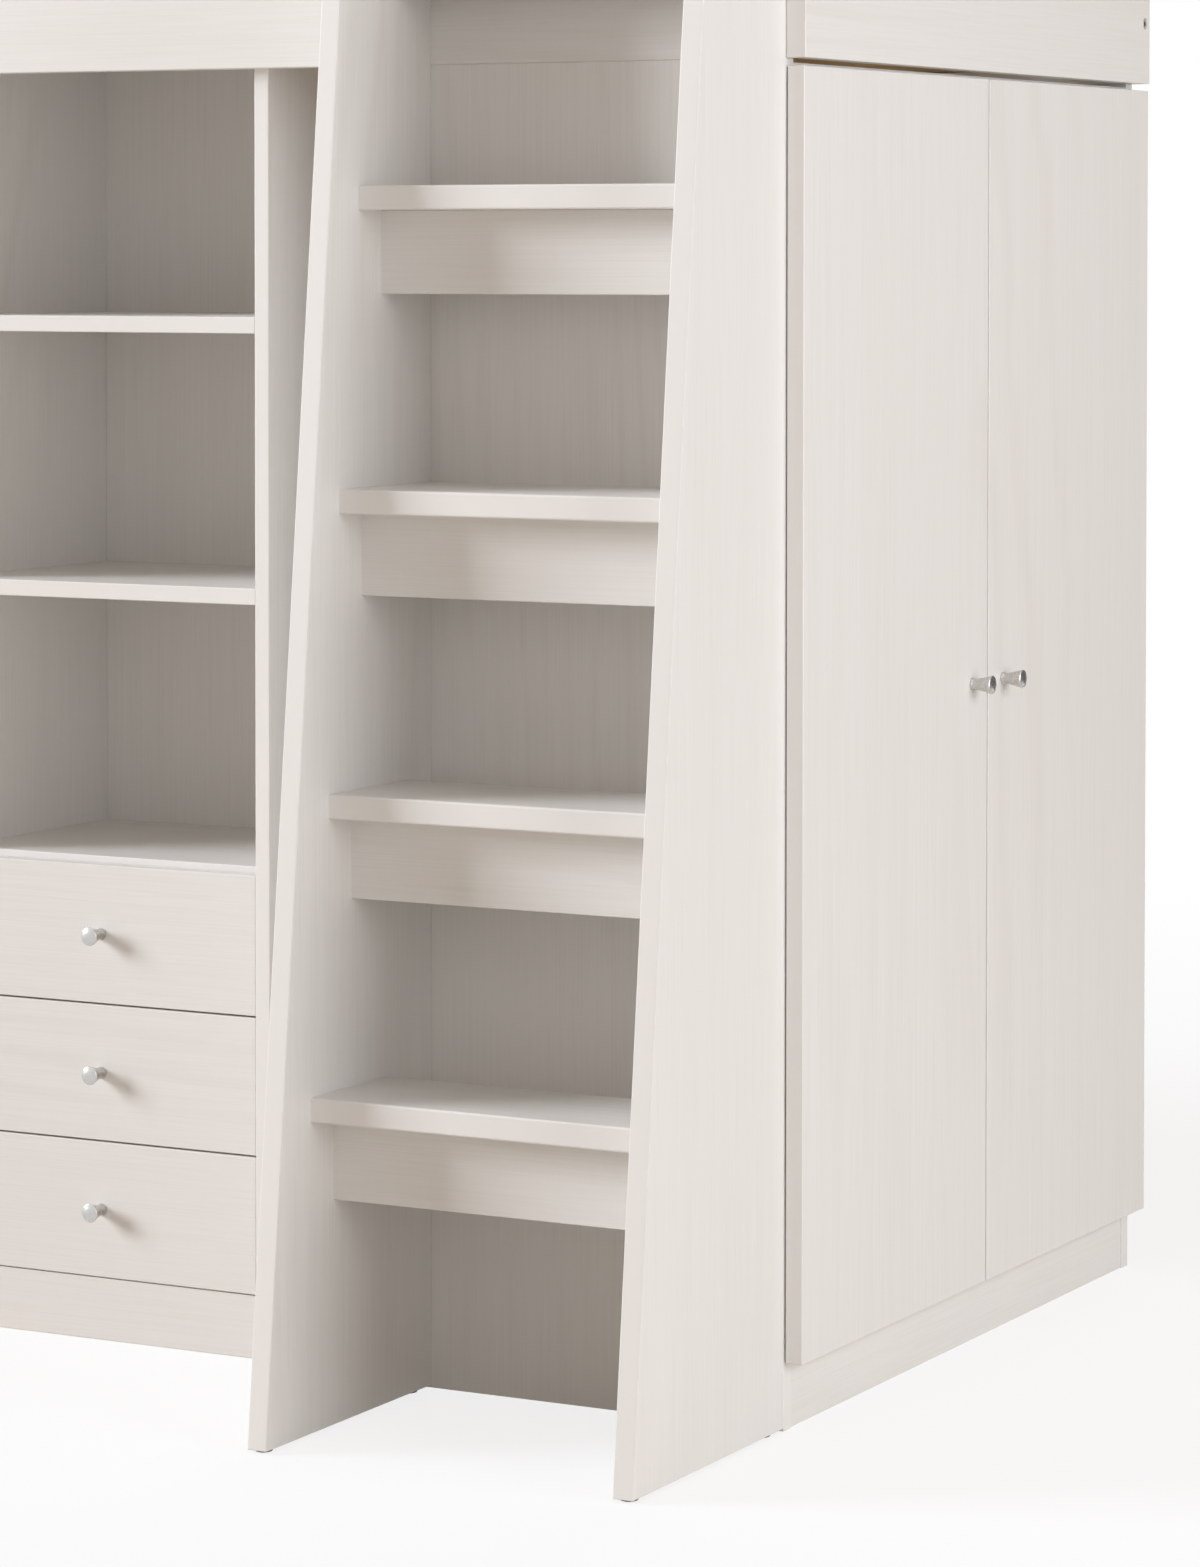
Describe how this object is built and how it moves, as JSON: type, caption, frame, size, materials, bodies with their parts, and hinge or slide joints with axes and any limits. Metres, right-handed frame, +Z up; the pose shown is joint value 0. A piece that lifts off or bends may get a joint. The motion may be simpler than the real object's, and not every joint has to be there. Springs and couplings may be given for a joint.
{
  "type": "loft bed with desk",
  "caption": "High bed on a shelf unit with drawers and a two-door wardrobe, with a step ladder between tapering sides and a desk top below.",
  "frame": {"origin": "middle of the footprint, on the floor", "axes": "+X along the length towards the wardrobe doors, +Y from the ladder to the wall side, +Z up"},
  "size_m": [2.0686, 1.2799, 1.834],
  "materials": {
    "white_board": "melamine-faced chipboard, fine ash emboss",
    "drawer_board": "smooth melamine",
    "solid_wood": "planed, unlacquered",
    "satin_aluminium": "satin, turned",
    "chromed_tube": "polished",
    "zinc_fittings": "zinc plated",
    "white_plastic": "satin",
    "brown_plastic": "matt"
  },
  "bodies": {
    "frame": {"barrel_nuts": "zinc_fittings", "bed_slats": "solid_wood", "centre_beam": "solid_wood", "clothes_rail": "chromed_tube", "desk_apron": "white_board", "desk_cleat": "white_board", "desk_side": "white_board", "desk_top": "white_board", "drawer_runners": "solid_wood", "foot_glides": "brown_plastic", "frame_bolts": "zinc_fittings", "front_guard": "white_board", "front_rail": "white_board", "hat_shelf": "white_board", "hinge_arms": "zinc_fittings", "ladder_left_side": "white_board", "ladder_right_side": "white_board", "left_end_panel": "white_board", "rail_sockets": "white_plastic", "rear_guard": "white_board", "rear_rail": "white_board", "right_end_panel": "white_board", "slat_bearers": "solid_wood", "tread_1": "white_board", "tread_2": "white_board", "tread_3": "white_board", "tread_4": "white_board", "tread_5": "white_board", "tread_rails": "white_board", "unit_back": "white_board", "unit_base": "white_board", "unit_drawer_shelf": "white_board", "unit_left_side": "white_board", "unit_middle_shelf": "white_board", "unit_plinth": "white_board", "unit_right_side": "white_board", "unit_top": "white_board", "unit_upper_shelf": "white_board", "wardrobe_back": "white_board", "wardrobe_base": "white_board", "wardrobe_front_side": "white_board", "wardrobe_plinth": "white_board", "wardrobe_rear_side": "white_board", "wardrobe_top": "white_board"},
    "front_door": {"front_door_hinge_cups": "zinc_fittings", "front_door_knob": "satin_aluminium", "front_door_panel": "white_board"},
    "rear_door": {"rear_door_hinge_cups": "zinc_fittings", "rear_door_knob": "satin_aluminium", "rear_door_panel": "white_board"},
    "drawer_1": {"drawer_1_box": "drawer_board", "drawer_1_front": "white_board", "drawer_1_knob": "satin_aluminium"},
    "drawer_2": {"drawer_2_box": "drawer_board", "drawer_2_front": "white_board", "drawer_2_knob": "satin_aluminium"},
    "drawer_3": {"drawer_3_box": "drawer_board", "drawer_3_front": "white_board", "drawer_3_knob": "satin_aluminium"}
  },
  "joints": [
    {"name": "front_door_hinge", "type": "hinge", "parent": "frame", "child": "front_door", "pos_m": [0.98925, -0.304, 0.73], "axis": [0, 0, -1], "range_deg": [0, 92]},
    {"name": "rear_door_hinge", "type": "hinge", "parent": "frame", "child": "rear_door", "pos_m": [0.98925, 0.64, 0.73], "axis": [0, 0, 1], "range_deg": [0, 92]},
    {"name": "drawer_1_slide", "type": "slide", "parent": "frame", "child": "drawer_1", "axis": [0, -1, 0], "range_m": [0, 0.24]},
    {"name": "drawer_2_slide", "type": "slide", "parent": "frame", "child": "drawer_2", "axis": [0, -1, 0], "range_m": [0, 0.24]},
    {"name": "drawer_3_slide", "type": "slide", "parent": "frame", "child": "drawer_3", "axis": [0, -1, 0], "range_m": [0, 0.24]}
  ]
}
